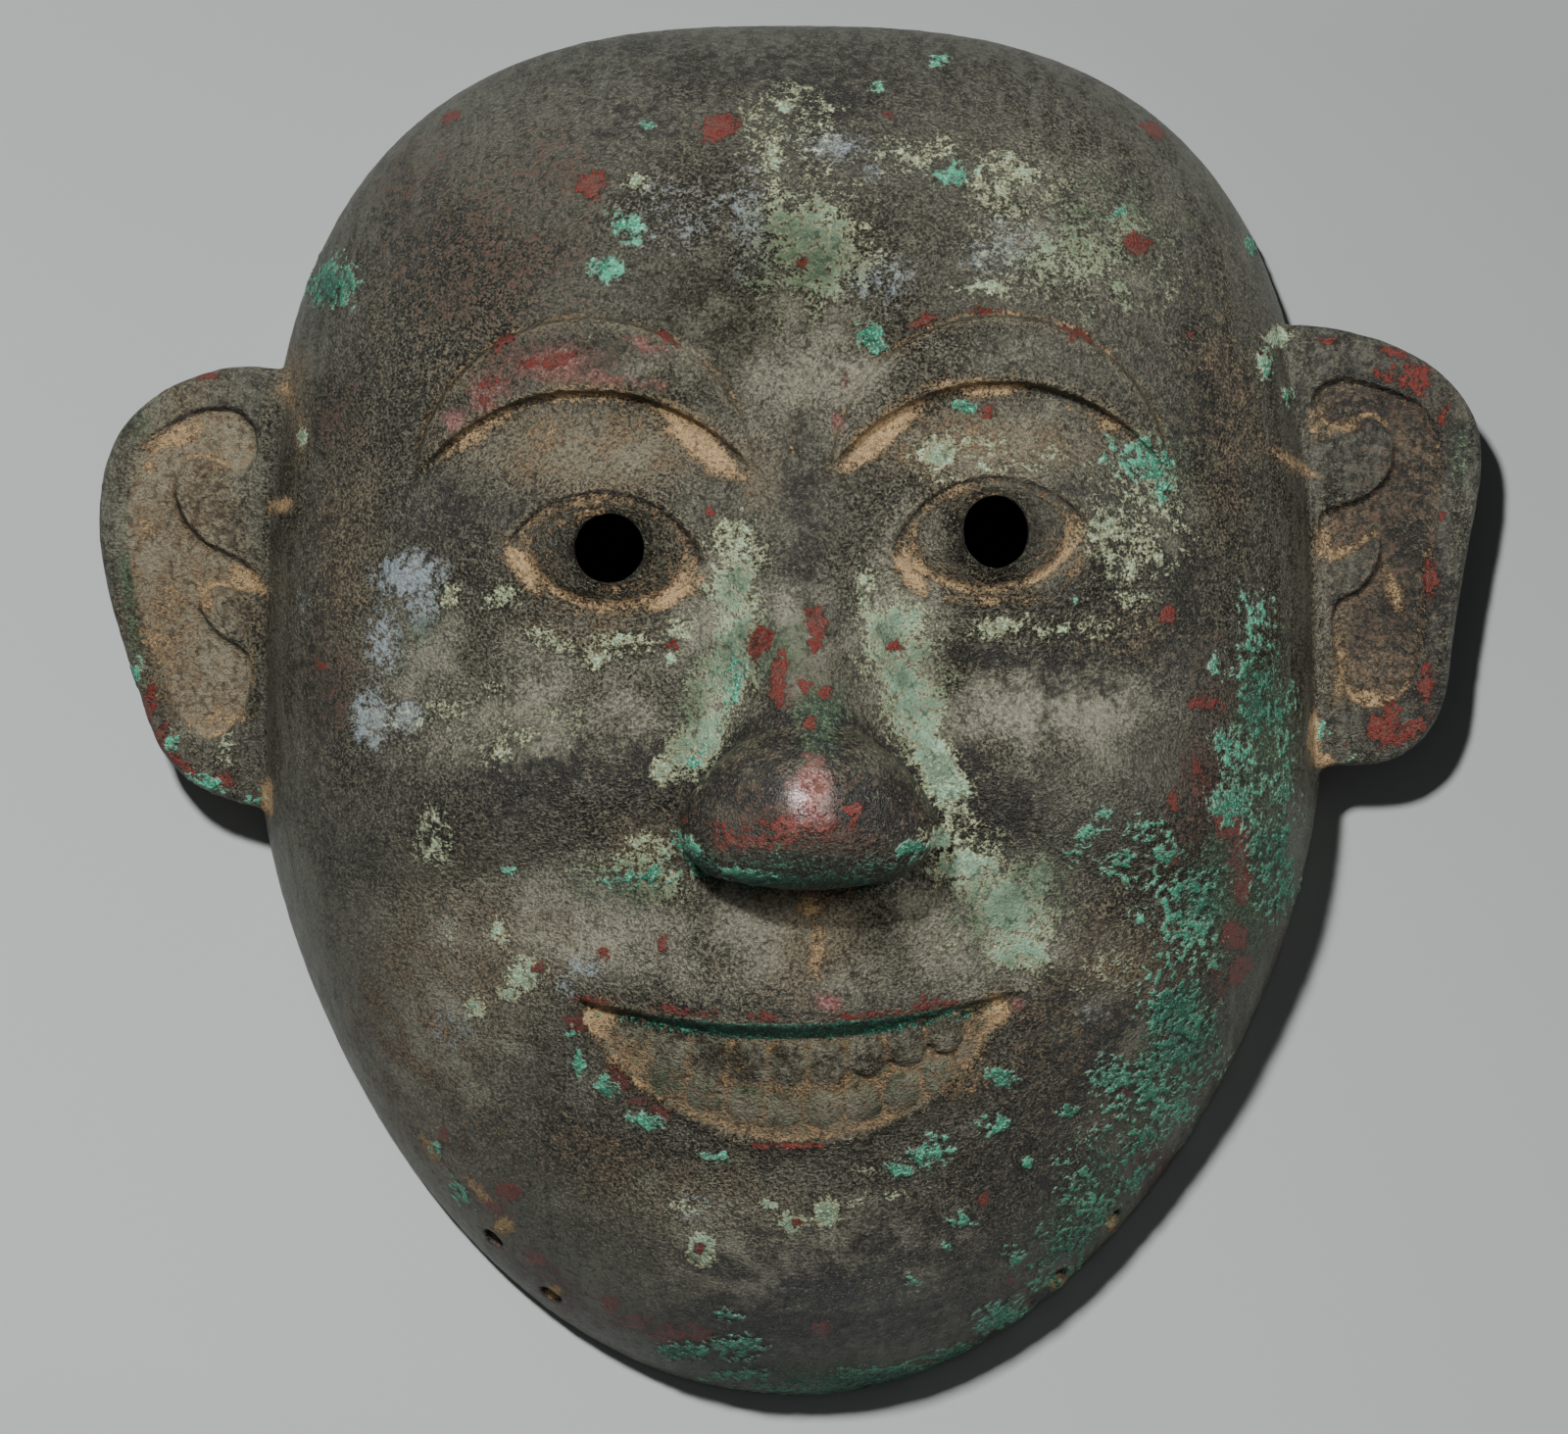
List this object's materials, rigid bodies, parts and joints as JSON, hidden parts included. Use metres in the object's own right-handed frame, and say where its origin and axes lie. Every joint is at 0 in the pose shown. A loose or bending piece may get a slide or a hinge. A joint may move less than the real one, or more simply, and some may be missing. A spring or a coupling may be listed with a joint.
{
  "type": "bronze ritual mask",
  "caption": "Hollow cast bronze ritual mask with crescent brows, pierced eyes and nostrils, a grinning toothed mouth, scroll ears and tie holes, lying face up on its rim.",
  "frame": {"origin": "centre of the bounding box on the floor plane, on which the mask's rim lies", "axes": "+X to the right as the mask is looked at, +Y to the crown, +Z the way the face looks, up from the floor"},
  "size_m": [0.2332, 0.2338, 0.0875],
  "materials": {
    "bronze": "dark aged bronze, satin and finely pitted, with green and red corrosion and dry earth in the hollows"
  },
  "bodies": {
    "root": {"mask": "bronze"}
  },
  "joints": []
}
